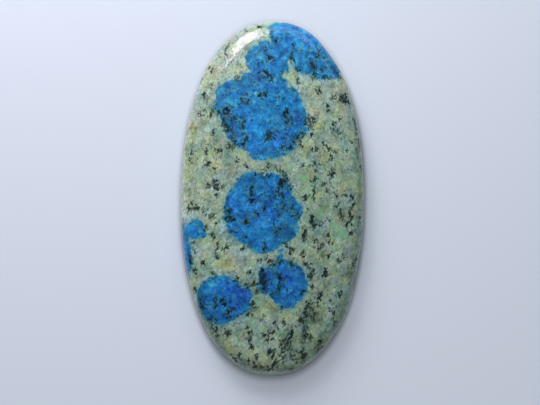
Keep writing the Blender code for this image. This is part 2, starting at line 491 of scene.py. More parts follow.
# Black mica lies between the grains in small ragged flakes, drawn out along the length of the
# stone where the rock was once squeezed. The ones that stand out are placed one by one. Each
# row is column, line, length and width in pixels, and how far the top leans right in degrees.
MICA_FLAKES = (
    # right of the upper balls
    (345, 99, 12, 7, -20), (342, 98, 9, 5, 0), (355, 122, 8, 3, -8), (356.5, 132, 9, 3, -8),
    (358.5, 143, 10, 3, -8), (361, 168, 6, 3, 0), (331, 172, 9, 3, 25), (308, 117, 5, 4, 0),
    (311, 121, 6, 4, 20), (314.6, 120, 4, 3, 0), (306, 121, 4, 3, 0), (309.5, 129, 4, 3, 10),
    (311, 135, 5, 3, 10), (297, 138, 7, 5, 20), (301, 144, 9, 3, -25), (324, 144, 5, 3, 0),
    (313, 147.6, 7, 3, 25), (317, 150, 4, 3, 0), (329, 151, 7, 3, -25), (331, 158, 5, 3, 0),
    (315, 163, 3, 3, 0), (302, 165.5, 4, 3, 0), (309.5, 167, 5, 3, 0), (331, 128.5, 3, 2.5, 0),
    (334, 129.4, 3, 2.5, 0), (339, 131.7, 3, 2.5, 0), (339, 119.5, 5, 3, 10),
    (352, 143, 3, 3, 0), (319, 92, 7, 3, -25), (295, 91, 4, 3, 0),
    (327, 105, 5, 2.5, 0), (328, 111, 4, 2.5, 0), 
    (317, 171, 4, 4, 0), (312, 127, 6, 4, 20), (307, 123, 4, 4, 0), (332, 174, 7, 5, 25), (334, 97, 4, 3, 0),
    (335, 153, 6, 3, -20), (327, 146, 5, 3, -25), (346, 151, 4, 3, 0), (319, 166, 4, 3, 0), (334, 124, 4, 3, 0),
    # in and round the great ball
    (231, 146, 7, 7, 0), (225, 127, 14, 4, -25), (238, 77, 4, 5, 0), (220, 150, 6, 6, 0),
    (229, 112, 6, 5, 0), (219, 113, 5, 4, 0), (287, 111, 6, 4, -10), (244, 144, 5, 3, -20),
    (296, 139, 7, 5, 25), (302, 135, 5, 3, 20), (291, 153, 5, 3, -20), (278, 171, 4, 3, 0), (263, 173, 4, 4, 0),
    (262, 74, 7, 3.5, -20), (271, 80, 6, 3, 0), (284, 72, 4, 4, 0), (213, 132, 4, 4, 0),
    (285, 176, 7, 6, 20), (281.5, 183, 10, 5, 0), (285, 114, 6, 4, 10), (289, 118, 7, 4, -20),
    (287, 124.6, 9, 3, 0), (226, 112, 8, 5, 0), (224, 119.5, 7, 3, 10), (234, 118, 5, 3, -30),
    (239, 119, 4, 3, 0), (230, 130, 8, 3, -20), (242, 127, 5, 3, 0), (234, 144, 7, 4, -20),
    (229, 148, 4, 3, 0), (260, 96, 4, 5, 0), (265, 95, 5, 3, 0), (239, 107, 5, 3, 0),
    (241, 100, 4, 2.5, 0), (248, 101, 3, 3, 0), (268, 135, 7, 3, 0), (266, 139, 3, 6, 0),
    (271, 138, 5, 3, -35), (268, 165.5, 5, 4, 0), (246, 139, 4, 3, 0), (282, 147, 4, 3, 0),
    (290, 149, 5, 3, 20), (256, 200, 5, 3, 0), (215, 169, 4, 3, 0),
    (247, 166, 6, 2, -20), (238, 160, 4, 3, 0), 
    (276, 167, 4, 3, 0), (278, 190, 5, 3, 0), (282, 196, 5, 3, 0),
    # in the pair at the upper end
    (293.7, 46, 5, 4, 0), (313, 65, 11, 4, -25), (315, 74.6, 5, 4, 0),
    (270.5, 58.5, 5, 4.5, 0), (277, 39.6, 5, 3, 0), (291, 58, 4, 3, 0), (297, 70, 5, 3, 0),
    (298, 81, 6, 3, 0), (267, 74.6, 9, 3, -25), (322.5, 69, 5, 3, 0), (319, 57, 4, 3, 0),
    (320, 50, 3, 3, 0), (337, 73, 5, 3, 0), (340, 78, 4, 3, 0),
    (313, 78, 4, 5, 0), (294, 61, 4, 3, -20),
    # the upper left
    (228, 58, 5, 4, 0), (200, 114, 4, 3, 0), (192, 153, 5, 3, 0),
    (245, 30, 4, 4, 0), (258.6, 27, 4, 3, 0), (227, 47, 6, 4, 20), (225, 54, 7, 3, -10),
    (209, 68, 3.5, 3, 0), (213, 70.5, 4, 3, 0), (201, 81, 5, 4, 10), (211, 86, 5, 3, 0),
    (204, 95, 6, 4, 0), (204, 111, 4, 3, 0), (213, 111, 4, 3, 0), (210, 115, 4, 3, 0),
    (218, 149.5, 3, 7, 0), (206, 151, 4, 3, 0), (190, 160, 7, 4, 10), (208, 164, 4, 3, 0),
    # right of the middle ball
    (314, 180, 5, 4, 0), (306, 198, 5, 4, 0), (308, 210, 4, 3, 0), (312, 223, 8, 5, -10),
    (301, 219, 4, 2.5, 0), (305, 233, 7, 3.5, 0), (316, 241, 4, 3, 0), (328, 234, 6, 4, 20),
    (329, 220, 4, 3, 0), (337, 206, 4, 4, 0), (353, 199, 7, 4, 0), (351, 213, 7, 4, 5),
    (351.5, 221, 8, 5, 0), (351, 233, 6, 4, 0), (328, 192, 5, 3, 0), (346, 194, 5, 3, 0),
    (291, 253, 5, 5, 0), (302, 256, 5, 3, 0), (305, 265, 7, 3, -20), (329, 257, 4, 3, 0),
    (339, 261, 4, 3, 0),
    (314, 178, 4, 3, 0), (314, 189, 9, 2, -8), (312.5, 197, 6, 2, 5), (323.6, 185, 4, 3, 0),
    (336, 195, 7, 3, 25), (351, 198, 7, 3, 0), (352, 207, 7, 3, 8), (350, 216, 7, 3, 0),
    (351.5, 224, 6, 3, 0), (341, 214.6, 9, 3, 0), (312.7, 218.5, 6, 5, 0),
    (314, 225.5, 7, 5.5, 20), (322, 223, 7, 3, 25), (305, 229, 4, 3, 0), (304.8, 236, 10, 3, 0),
    (346.5, 226, 6, 3, 0), (331, 240, 5, 3, 0), (328, 243, 4, 3, 0), (321, 246.5, 5, 3, 0),
    (318, 246, 4, 3, 0), (287, 244, 6, 3, 25), (292, 250, 4, 6, 0), (304, 253, 5, 3, 0),
    (344, 256, 6, 3, 0), (304, 262, 4, 3, 0), (310, 267.6, 5, 3, 0),
    (359, 220, 9, 3, 0), (355, 262.5, 11, 3, 25),
    # in the middle ball
    (285, 179, 8, 7, 0), (291, 187, 6, 4, -20), (282, 244, 5, 3, 20),
    (251.6, 198, 12, 5, 0), (251, 188.5, 4, 3, 0), (255, 176, 4, 3, 0), (265, 179, 4, 3, 0),
    (229, 213, 5, 4, 0), (230, 218.5, 4, 11, 0), (246.5, 222, 5, 4, 0), (257, 214.6, 4, 3, 0),
    (265, 208, 5, 3, 0), (245, 236, 4, 3, 0), (264, 250, 5, 3, 0), (276, 207.6, 4, 3, 0),
    (280, 216, 4, 3, 0), (292, 207.6, 4, 3, 0), (276, 233, 5, 3, 0), (280, 229, 4, 3, 0),
    (298, 216, 4, 3, 0),
    # left of the middle ball
    (216, 195, 5, 3.5, 0), (191, 203, 5, 3, 0), (210, 217, 4, 3, 20), (206, 229, 4, 3, 0),
    (217, 247, 6, 3, 15), (217, 257, 4, 3, 0), (224, 250, 4, 3, 0), (242, 248, 4, 3, 0),
    (216, 185.5, 12, 3.5, -20), (208, 185, 4, 3, 0), (223, 186.5, 3, 3, 0), (188.5, 209, 7, 3, 25),
    (197, 208, 6, 5, 0), (192, 204, 4, 3, 0), (204, 211, 7, 3, -25), (213, 216, 6, 3, 25),
    (217, 224, 4, 3, 0), (213, 236, 5, 4, 0), (194, 241, 4, 4, 0), (191, 261, 8, 5.5, 0),
    (195.5, 252, 4, 3, 0), (202.5, 263, 5, 3, 0), (228, 246.5, 4, 3, 0), 
    (260, 260.6, 6, 3, 25), (267.6, 260, 6, 3, -25),
    # in and round the lower left ball
    (214, 274, 5, 3, 0), (236, 280, 6, 4, 0), (250, 273, 5, 3, 0),
    (255, 282, 9, 6, 0), (257, 291, 5, 5, 0), (252, 304, 5, 4, 0), (252, 316, 4, 3, 0),
    (227, 333, 8, 5, 15),
    (238, 285, 5, 4, 0), (215.4, 301, 12, 3, 0), (223, 300, 6, 3, 25), (225, 304.6, 4, 3, 0),
    (228.5, 311, 8, 4.5, 25), (201, 304.6, 10, 3, 0), (215.4, 322, 8, 2.5, 0),
    (215.4, 330, 6, 2.5, 0), (209, 319, 4, 3, 0), (217, 336, 5, 4, 0), (227, 333, 6, 4, 20),
    (226, 333, 3, 6, 0), (249, 331, 7, 3, -25), 
    (239, 357, 7, 3, 0), (233, 357, 4, 3, 0), (254.5, 356, 4, 3, 0), (254.5, 363.6, 8, 3, 0),
    (267, 339, 5, 3, -25), (254.5, 309, 4, 3, 0), (248, 313, 6, 4, 20), (195.5, 272, 5, 3, 0),
    (194.7, 290, 5, 3, 0),
    # in and round the lower right ball
    (272, 263, 6, 5, 20), (280, 261, 5, 5, 0), (291, 263, 5, 5, 0), (311, 277, 6, 5, 0),
    (320, 296, 9, 3.5, 5), (330, 300, 5, 3, 20), (338, 296, 5, 3, 0), (311, 307, 6, 5, 0),
    (307, 305, 5, 5, 0), (301, 319, 7, 6, 0), (313, 317, 6, 3, 0), (307, 315, 5, 4, 0),
    (262, 272, 7, 5, 25), (266, 275, 4, 3, 0), (263, 284, 13, 5, 0), (254.5, 282, 4, 4, 0),
    (247, 285, 4, 3, 0), (291.5, 266, 8, 3, -25), (280, 279, 11, 3.5, 0), (279, 289, 12, 4, 0),
    (278, 292, 5, 3, 0), (310, 277, 5, 3, 0), (311, 269, 4, 3, 0), (313, 272, 4, 3, 0),
    (325, 273, 9, 5, 20), (323, 275, 4, 4, 0), (304, 292, 5, 3, 0), (311.5, 287, 4, 3, 0),
    (319, 295, 6, 3, 25), (318, 301.5, 11, 3, 0), (308, 303, 6, 4, 0), (306, 311, 8, 4, 25),
    (307, 310, 7, 4, 0), (309, 314, 4, 3, 0), (303, 321, 6, 5, 0), (331, 308, 4, 2.5, 25),
    (335, 312, 10, 2, 25), (340, 293, 7, 3, 0), (354, 293.5, 5, 3, 0), (281, 308, 3, 3, 0),
    # the lower end
    (303, 340, 8, 4, 20), (303, 352, 7, 4, 10), (291, 333, 6, 3, 0), (271, 333, 5, 3, -30),
    (274, 356, 7, 3, 0), (256, 358, 7, 3, 0), (274, 362, 6, 2.5, 30), (280, 357, 5, 3, 0),
    (336, 335, 5, 3, 25), (306, 335, 8, 5, 25), (310, 338, 7, 4, 0), (289, 336, 13, 3, 0),
    (283, 342, 8, 4, 25), (287, 344, 7, 4, 0), (283.6, 348.5, 8, 3, 0), (320, 341, 8, 3, 0),
    (303.5, 355, 7, 5, 0), (304, 361, 6, 3, 0), (297, 360, 5, 3, 0), (275, 361, 5, 3, 0),
    (273, 332, 5, 4, -40), (271.6, 367, 5, 2.5, 0), (212, 327, 11, 3, -10), (248, 329, 4, 3, 0),
    (249, 341, 9, 2.5, -5), (251, 347, 5, 3, 0), (262, 318, 4, 2.5, 50),
    (284, 323, 5, 2.5, -10), (277, 326, 7, 2, -20), (265, 336, 3, 3, 0),
    (272, 339, 4, 2.5, 0), (292, 331, 4, 4, 0), (291, 342, 10, 2.5, 10), (297, 325, 6, 2.5, 45),
    (306, 327, 6, 3, 0), (322, 347, 6, 4, 30), (318, 350, 5, 3, 0), (297, 353, 5, 4, 0),
    (290, 351, 4, 3, 0), (293, 356, 4, 3, 30), (276, 353, 5, 2.5, 0), (269, 352, 4, 3, 0),
    (275, 364, 5, 3, 0), (270, 367, 5, 2.5, 30), (270, 369, 5, 3, 25),
    (284, 359, 6, 2.5, 0), (292, 369, 4, 7, 0), (255, 367, 3, 3, 0),
    (237, 361, 4, 3, 20), (261, 368, 5, 2.5, 20), (249, 362, 7, 2, 0), (335, 323, 5, 2.5, 20),
)

# Where there is none for a few millimetres round
BARE_PATCHES = (
    (193, 128, 9, 1), (305, 111, 8, 1), (228, 261, 10, 1), (347, 123, 6, 1), (232, 176, 8, 1),
    (275, 309, 8, 1), (273, 251, 7, 1), (194, 243, 6, 1), (227, 165, 7, 1), (240, 169, 7, 1),
    (223, 85, 6, 1), (209, 164, 6, 1), (323, 204, 7, 1), (276, 325, 6, 1), (306, 92, 7, 1),
    (352, 269, 6, 1), (249, 250, 7, 1), (213, 231, 5, 1), (292, 237, 5, 1), (250, 296, 6, 1),
    (332, 85, 7, 1), (200, 169, 8, 1), (330, 110, 6, 1), (266, 364, 5, 1), (285, 366, 5, 1),
)


def from_line(start, end):
    """How far each point of the skin is from a straight line between two places."""
    start, end = np.array(start), np.array(end)
    run = end - start
    share = np.clip((skin - start) @ run / (run @ run), 0, 1)
    return np.linalg.norm(skin - start - share[:, None] * run, axis=1)


mica = np.full(len(skin), 3 * MM)
for column, line, length, width, lean in MICA_FLAKES:
    middle = on_stone(column, line)
    half_run = max(length - width, 0.4) / 2 * PIXEL
    if width > length:
        half_run, lean, width = (width - length) / 2 * PIXEL, 90, length
    along = Vector((math.sin(math.radians(lean)), math.cos(math.radians(lean)), 0)) * half_run
    flake = from_line(middle - along, middle + along) - width / 2 * PIXEL
    mica = np.minimum(mica, flake)
keep("mica", mica / MM)
keep("bare", stains(BARE_PATCHES))


# Copper water left green stains in the cracks, and the iron in the rock rusted to yellow and
# ochre spots. Each row is column, line, radius in pixels and how strong it is.
GREEN_STAINS = (
    (218.6, 133, 3, 1), (195.6, 145, 4, 0.5), (301, 178.5, 4, 0.8), (306, 178.5, 3.5, 0.8),
    (318, 178, 5, 0.7), (311, 184, 3.5, 0.7), (311, 190, 3.5, 0.7), (311, 196, 3.5, 0.7),
    (311, 202, 3, 0.6), (320, 213, 5, 0.8), (337, 232, 12, 0.55), (345, 236, 8, 0.6),
    (333, 225, 5, 0.6), (258, 303, 6, 0.7), (260, 298, 5, 0.6), (253.7, 305.4, 4, 0.6),
    (251, 320.6, 4, 0.6), (290.5, 76, 2.6, 0.5), (345, 300, 6, 0.5), (204, 95, 5, 0.5), (340, 293, 6, 0.5),
)
RUST_STAINS = (
    (230.4, 70.5, 3, 1), (234, 69.7, 2.5, 0.8), (207.6, 137, 3.5, 0.9), (210.4, 155.7, 2.5, 1),
    (217, 165.3, 3, 1), (317.5, 126, 3, 1), (320, 116, 4, 0.6), (324, 160, 8, 0.5),
    (338, 217.7, 2.2, 1), (291, 77.5, 3, 0.6), (332, 240.5, 3, 0.9), (304.5, 210, 3, 0.7), (317, 195, 7, 0.5),
    (361, 205, 4, 0.5), (200, 185, 5, 0.6), (216.5, 226.5, 3, 0.6), (216, 206, 3, 0.6),
    (207, 255, 7, 0.5), (218, 263, 7, 0.5), (230, 265, 7, 0.5), (288, 317, 7, 0.5),
    (231, 350, 6, 0.5), (241, 350, 5, 0.5), (315.5, 316.5, 4, 0.7), (333, 319.8, 3, 0.6),
)


# Where the feldspar as a whole is warmer, towards cream
CREAM_PATCHES = (
    (190, 105, 20, 0.8), (190, 132, 18, 0.8), (187, 166, 18, 0.9), (198, 186, 14, 0.8),
    (183, 205, 14, 0.9), (209, 152, 12, 0.7), (216, 163, 12, 0.8), (207, 138, 9, 0.7),
    (232, 68, 12, 0.4), (290, 80, 9, 0.2), (318, 115, 12, 0.8),
    (322, 157, 11, 0.8), (340, 168, 10, 0.6), (360, 172, 12, 0.8), (361, 195, 12, 0.8),
    (207, 245, 12, 0.7), (228, 262, 14, 0.8), (333, 240, 11, 0.7), (320, 312, 18, 0.7),
    (338, 322, 12, 0.6), (235, 348, 14, 0.7), (265, 312, 14, 0.5), (262, 357, 10, 0.5),
    (290, 165, 12, 0.5), (316, 260, 10, 0.6), (360, 265, 12, 0.7),
)


# Where it is paler as a whole, and where it is darker. This is partly the feldspar's own tone
# and partly painted light and shade: painted light mostly on the left side and beside the
# highlight at the upper end, painted shade mostly towards the right side and the lower end.
PALER_AND_LIT_PATCHES = (
    (178, 112, 26, 0.8), (178, 135, 24, 1), (176, 160, 24, 0.8), (177, 190, 24, 1.1),
    (184, 214, 24, 1.5), (279, 367, 22, 0.6), (190, 190, 14, 0.5), (210, 118, 14, 0.5), (206, 165, 16, 0.5), (247, 68, 18, 0.6),
    (236, 58, 16, 0.3), (315, 115, 16, 0.6), (293, 82, 12, 0.3), (340, 82, 14, 0.7),
    (267, 36, 14, 1),
    (212, 205, 14, 0.5), (208, 250, 16, 0.4), (265, 318, 14, 0.5), (214, 345, 20, 0.7),
    (238, 350, 16, 0.4), (316, 288, 10, 0.4), (240, 160, 12, 0.3), (290, 190, 12, 0.4),
)
# Where it is whiter, with less green: partly whiter feldspar, partly a painted sheen round the
# upper left of the shoulder and its highlight
WHITE_AND_SHEEN_PATCHES = (
    (255, 30, 22, 1.2), (235, 45, 26, 1.2), (214, 66, 22, 0.9), (203, 92, 24, 0.8),
    (192, 115, 26, 1), (184, 145, 24, 0.7), (182, 180, 22, 0.7), (186, 210, 20, 1),
    (240, 66, 18, 0.8), (335, 92, 16, 0.7), (298, 92, 12, 0.6), (350, 112, 14, 0.6),
    (215, 192, 16, 0.5), (242, 166, 14, 0.4), (318, 112, 14, 0.5), (235, 258, 14, 0.4),
)
# Painted shade, mostly towards the right side and the lower end, together with darker feldspar
DARKER_AND_SHADED_PATCHES = (
    (222, 146, 12, 0.7), (250, 290, 13, 1), (312, 318, 16, 1.5), (295, 343, 19, 1.5),
    (344, 214, 14, 0.8), (340, 268, 13, 0.8), (343, 190, 13, 0.6), (240, 318, 8, 0.5),
    (316, 262, 12, 0.6), (267, 345, 10, 0.5), (330, 192, 16, 0.5), (266, 167, 12, 0.5),
    (216, 70, 14, 0.5), (240, 266, 10, 0.4), (217, 90, 12, 0.4), (341, 94, 12, 0.5),
    (291, 76, 9, 0.9), (304, 77, 8, 0.4), (200, 102, 11, 0.4), (204, 89, 9, 0.5),
    (190, 258, 10, 0.5), (330, 303, 11, 0.5), (346, 299, 10, 0.5), (352, 222, 11, 0.5),
    (309, 270, 10, 0.5), (225, 59, 9, 0.4), (228, 144, 9, 0.4), (346, 205, 10, 0.4),
)


keep("green", stains(GREEN_STAINS))
keep("rust", stains(RUST_STAINS))
keep("cream", stains(CREAM_PATCHES))
# Painted light and shade, together with the feldspar's own paler and darker tone
keep("tone_and_light", stains(PALER_AND_LIT_PATCHES) - stains(DARKER_AND_SHADED_PATCHES))
# Painted sheen, together with the feldspar's own whiter patches
keep("white_and_sheen", stains(WHITE_AND_SHEEN_PATCHES))


# The polish isn't dead even. The wheel rides over the hard feldspar and digs a little into the
# mica and the azurite, it leaves long shallow waves, and grains that broke out leave pits.
# Each pit is column, line and radius in pixels, and its depth in millimetres.
PITS = (
    (315.5, 316.5, 4.2, 0.3), (333, 319.8, 2.6, 0.2), (328, 326, 2.4, 0.15),
    (231, 56, 2.4, 0.12), (262, 281, 2.4, 0.1), (316, 222, 2.6, 0.2),
    (352, 219, 2.4, 0.15), (304, 238, 2.4, 0.15), (217, 186, 2.6, 0.15), (280, 336, 2.4, 0.15),
)
# Small chips of the back's edge: place and radius in millimetres, and depth
EDGE_CHIPS = (
    (-11.6, 15.8, 0.1, 0.7, 0.22), (-11.2, 16.5, 0.1, 0.5, 0.15), (13.9, 7.9, 0.1, 0.5, 0.18),
    (12.4, -14.0, 0.1, 0.8, 0.25), (-6.6, -25.2, 0.1, 0.6, 0.2),
)
RELIEF = {
    "Mica Undercut": 0.03 * MM,
    "Azurite Undercut": 0.012 * MM,
    "Wave Depth": 0.05 * MM,
    "Wave Length": 9.0 * MM,
    "Pits Per Square Centimetre": 2.4,
    "Least Pit": 0.12 * MM,
    "Greatest Pit": 0.42 * MM,
    "Pit Steepness": 0.22,
    "Seed": 12,
}


def hollow(place, radius, depth):
    """How deep a round hollow is at each point."""
    near = np.clip(1 - away_from(place) / radius, 0, 1)
    return near * near * (3 - 2 * near) * depth


hollows = np.zeros(len(skin))
for column, line, radius, depth in PITS:
    hollows = np.maximum(hollows, hollow(on_stone(column, line), radius * PIXEL, depth))
for x, y, z, radius, depth in EDGE_CHIPS:
    hollows = np.maximum(hollows, hollow((x * MM, y * MM, z * MM), radius * MM, depth))
keep("hollow", hollows)


def noise(tree, place, grain, detail=2.0, shift=0.0, roughness=0.5):
    """Soft noise round 0 with features of about this size, mostly within 0.25 of it."""
    node = tree.nodes.new("ShaderNodeTexNoise")
    feed(tree, moved(tree, place, shift) if shift else place, node.inputs["Vector"])
    node.inputs["Scale"].default_value = 0.5 / grain
    node.inputs["Detail"].default_value = detail
    node.inputs["Roughness"].default_value = roughness
    return Value(tree, node.outputs[0]) - 0.5


def moved(tree, place, shift):
    """The same place, shifted, so that two noises don't follow each other."""
    node = tree.nodes.new("ShaderNodeVectorMath")
    node.operation = "ADD"
    feed(tree, place, node.inputs[0])
    node.inputs[1].default_value = (shift, shift * 0.37, -shift * 0.71)
    return node.outputs[0]


def scaled(tree, place, factor):
    node = tree.nodes.new("ShaderNodeVectorMath")
    node.operation = "SCALE"
    feed(tree, place, node.inputs[0])
    feed(tree, factor, node.inputs["Scale"])
    return node.outputs[0]


def kept(tree, name):
    """What keep() stored, inside Geometry Nodes."""
    node = tree.nodes.new("GeometryNodeInputNamedAttribute")
    node.data_type = "FLOAT"
    node.inputs["Name"].default_value = name
    return Value(tree, node.outputs["Attribute"])


def relief_tree():
    """Geometry Nodes that sink the skin of the cut. Nothing is ever raised."""
    tree = bpy.data.node_groups.new("polish_relief", "GeometryNodeTree")
    tree.interface.new_socket("Cut", in_out="INPUT", socket_type="NodeSocketGeometry")
    for name in RELIEF:
        kind = "NodeSocketInt" if name == "Seed" else "NodeSocketFloat"
        tree.interface.new_socket(name, in_out="INPUT", socket_type=kind)
    entry = tree.nodes.new("NodeGroupInput")
    size = {name: Value(tree, entry.outputs[name]) for name in RELIEF}
    position = tree.nodes.new("GeometryNodeInputPosition").outputs[0]
    normal = tree.nodes.new("GeometryNodeInputNormal").outputs[0]
    upright = parts_of(tree, normal)[2]
    place = scaled(tree, position, 1 / MM)

    scatter = tree.nodes.new("GeometryNodeDistributePointsOnFaces")
    tree.links.new(entry.outputs["Cut"], scatter.inputs["Mesh"])
    feed(tree, size["Pits Per Square Centimetre"] * 10000, scatter.inputs["Density"])
    feed(tree, size["Seed"], scatter.inputs["Seed"])
    reach = tree.nodes.new("FunctionNodeRandomValue")
    reach.data_type = "FLOAT"
    feed(tree, size["Least Pit"], reach.inputs[2])
    feed(tree, size["Greatest Pit"], reach.inputs[3])
    feed(tree, size["Seed"] + 1, reach.inputs["Seed"])
    nearest = tree.nodes.new("GeometryNodeSampleNearest")
    tree.links.new(scatter.outputs["Points"], nearest.inputs["Geometry"])
    pit = {}
    for kind, field in (("FLOAT_VECTOR", position), ("FLOAT", reach.outputs[1])):
        pick = tree.nodes.new("GeometryNodeSampleIndex")
        pick.data_type = kind
        tree.links.new(scatter.outputs["Points"], pick.inputs["Geometry"])
        tree.links.new(field, pick.inputs["Value"])
        tree.links.new(nearest.outputs["Index"], pick.inputs["Index"])
        pit[kind] = pick.outputs[0]
    gap = tree.nodes.new("ShaderNodeVectorMath")
    gap.operation = "DISTANCE"
    tree.links.new(position, gap.inputs[0])
    tree.links.new(pit["FLOAT_VECTOR"], gap.inputs[1])
    ragged = noise(tree, place, 0.3, 2.0, 5) * (0.5 * MM)
    radius = Value(tree, pit["FLOAT"])
    pitted = (Value(tree, gap.outputs["Value"]) + ragged).fall(radius * 0.2, radius)
    polished = upright.rise(-0.5, 0.1)
    pitted = pitted * (polished * 0.7 + 0.3)
    sunk = pitted * radius * size["Pit Steepness"] + kept(tree, "hollow") * MM
    waves = noise(tree, scaled(tree, position, 1 / size["Wave Length"]), 0.5, 1.0, 3) + 0.3
    soft = kept(tree, "mica").fall(-0.12, 0.06) * size["Mica Undercut"]
    soft = soft + kept(tree, "azurite").fall(-0.25, 0.05) * size["Azurite Undercut"]
    sunk = sunk + (soft + waves.within(0, 1) * size["Wave Depth"]) * polished

    press = tree.nodes.new("GeometryNodeSetPosition")
    tree.links.new(entry.outputs["Cut"], press.inputs["Geometry"])
    tree.links.new(scaled(tree, normal, sunk * -1), press.inputs["Offset"])
    note = tree.nodes.new("GeometryNodeStoreNamedAttribute")
    note.data_type = "FLOAT"
    note.inputs["Name"].default_value = "pit"
    tree.links.new(press.outputs[0], note.inputs["Geometry"])
    feed(tree, (pitted + kept(tree, "hollow") * 8).within(0, 1), note.inputs["Value"])
    finish_with(tree, note.outputs[0], rock)
    return tree


stone.data = made_by(relief_tree(), RELIEF, cut)
stone.data.name = "polished_stone"


# The rock. Pale feldspar and quartz grew in clots of a millimetre or so, with thin grey seams
# between them, and the mica, azurite and stains lie in that. It is polished on the face and
# the side. The back was only ground, so it is dull.
PICTURE_EXPOSURE = 0.77  # how much of its real brightness a thing in the middle shows


def paint(red, green, blue):
    """The real colour of what shows in the picture as this one, each part 0 to 255."""
    parts = []
    for part in (red, green, blue):
        part = part / 255
        part = part / 12.92 if part < 0.04045 else ((part + 0.055) / 1.055) ** 2.4
        parts.append(part / PICTURE_EXPOSURE)
    return (*parts, 1.0)


def layer(tree, under, over, amount):
    """One colour laid over another by an amount of 0 to 1."""
    node = tree.nodes.new("ShaderNodeMix")
    node.data_type = "RGBA"
    feed(tree, amount, node.inputs[0])
    feed(tree, under, node.inputs[6])
    feed(tree, over, node.inputs[7])
    return node.outputs[2]


def ramp(tree, amount, stops):
    node = tree.nodes.new("ShaderNodeValToRGB")
    feed(tree, amount, node.inputs[0])
    points = node.color_ramp.elements
    while len(points) < len(stops):
        points.new(0.5)
    for point, (place, colour) in zip(points, stops):
        point.position = place
        point.color = paint(*colour)
    return node.outputs[0]


def stored(tree, name):
    node = tree.nodes.new("ShaderNodeAttribute")
    node.attribute_name = name
    return Value(tree, node.outputs["Fac"])


def along_grain(tree, place, squeeze, lean):
    """The place, squeezed along the stone. Below the middle the grain leans to the right."""
    x, y, z = parts_of(tree, place)
    return joined(tree, x - y.least(0) * lean, y * squeeze, z)


def askew(tree, place):
    """The place, turned so that a cut through a noise doesn't show the noise's own grid."""
    node = tree.nodes.new("ShaderNodeVectorRotate")
    node.rotation_type = "EULER_XYZ"
    feed(tree, place, node.inputs["Vector"])
    node.inputs["Rotation"].default_value = (0.62, 0.47, 0.35)
    return node.outputs[0]


def mosaic_group():
    """Grown grains: for each grain a tone and a tint round 0, and the seams between them."""
    tree = bpy.data.node_groups.new("grain_mosaic", "ShaderNodeTree")
    for name in ("Place", "Grain Size"):
        kind = "NodeSocketVector" if name == "Place" else "NodeSocketFloat"
        tree.interface.new_socket(name, in_out="INPUT", socket_type=kind)
    for name in ("Tone", "Tint", "Seam"):
        tree.interface.new_socket(name, in_out="OUTPUT", socket_type="NodeSocketFloat")
    entry = tree.nodes.new("NodeGroupInput")
    leave = tree.nodes.new("NodeGroupOutput")
    size = Value(tree, entry.outputs["Grain Size"])
    x, y, z = (part / size for part in parts_of(tree, entry.outputs["Place"]))
    unit = joined(tree, x, y, z)
    crooked = joined(
        tree,
        x + noise(tree, unit, 0.35, 3.0, 11, 0.6) * 1.2,
        y + noise(tree, unit, 0.35, 3.0, 23, 0.6) * 1.2,
        z + noise(tree, unit, 0.35, 3.0, 37, 0.6) * 1.2,
    )
    cell = tree.nodes.new("ShaderNodeTexVoronoi")
    edge = tree.nodes.new("ShaderNodeTexVoronoi")
    edge.feature = "DISTANCE_TO_EDGE"
    for node in (cell, edge):
        feed(tree, crooked, node.inputs["Vector"])
        node.inputs["Scale"].default_value = 1.0
    tone, tint, _ = parts_of(tree, cell.outputs["Color"])
    feed(tree, tone - 0.5, leave.inputs["Tone"])
    feed(tree, tint - 0.5, leave.inputs["Tint"])
    feed(tree, Value(tree, edge.outputs["Distance"]).fall(0.0, 0.13), leave.inputs["Seam"])
    return tree


grain_mosaic = mosaic_group()


def mosaic(tree, place, grain):
    node = tree.nodes.new("ShaderNodeGroup")
    node.node_tree = grain_mosaic
    feed(tree, place, node.inputs["Place"])
    node.inputs["Grain Size"].default_value = grain
    return [Value(tree, output) for output in node.outputs]


def tinted(tree, colour, red, green, blue):
    """The colour with each of its three parts raised by a share of itself."""
    parts = parts_of(tree, colour)
    return joined(tree, *(part * (share + 1) for part, share in zip(parts, (red, green, blue))))


def granite_colour(tree, place):
    """Feldspar, quartz and the seams, before mica and stains, with painted light, shade and sheen."""
    drawn = along_grain(tree, place, 0.8, 0.2)
    tone, _, seam = mosaic(tree, drawn, 0.9)
    small, _, crack = mosaic(tree, moved(tree, drawn, 8), 0.42)
    slanted = askew(tree, drawn)
    broad = noise(tree, drawn, 1.2, 1.0, 61)
    soft = noise(tree, slanted, 0.5, 3.0, 3, 0.6)
    fine = noise(tree, slanted, 0.15, 1.0, 5)
    shade = tone * 0.43 + small * 0.38 + broad * 1.1 + soft * 0.95 + fine * 0.35 + 0.64
    colour = ramp(tree, shade, (
        (0.0, (84, 106, 96)),
        (0.3, (110, 132, 119)),
        (0.55, (128, 149, 134)),
        (0.8, (136, 157, 142)),
        (1.0, (152, 172, 158)),
    ))
    colour = layer(tree, colour, paint(78, 98, 90), (seam * 0.3 + crack * 0.35).within(0, 1))
    gap = noise(tree, slanted, 0.32, 3.0, 71, 0.6) + seam * 0.04 - broad * 0.25
    colour = layer(tree, colour, paint(66, 86, 80), gap.rise(0.06, 0.21) * 0.64)
    pepper = noise(tree, slanted, 0.13, 1.0, 75) + seam * 0.04 - broad * 0.15
    colour = layer(tree, colour, paint(38, 56, 54), pepper.rise(0.15, 0.24) * 0.4)
    warm = noise(tree, drawn, 1.1, 4.0, 41, 0.62) * 0.95 + stored(tree, "cream") * 0.1
    green = noise(tree, drawn, 0.9, 4.0, 47, 0.65) * 0.6 + 0.02
    red_share, green_share = warm * 0.9 - green * 0.6, warm * 0.1 + green * 0.5
    colour = tinted(tree, colour, red_share, green_share, warm * -1.3 - green * 0.7)
    # Painted light and shade, and a painted sheen, laid on with the feldspar's own tone
    tone_and_light, white_and_sheen = stored(tree, "tone_and_light"), stored(tree, "white_and_sheen")
    red_share, blue_share = tone_and_light * 0.26 + white_and_sheen * 0.16 + 0.02, tone_and_light * 0.23 + white_and_sheen * 0.08
    return tinted(tree, colour, red_share, tone_and_light * 0.22, blue_share)


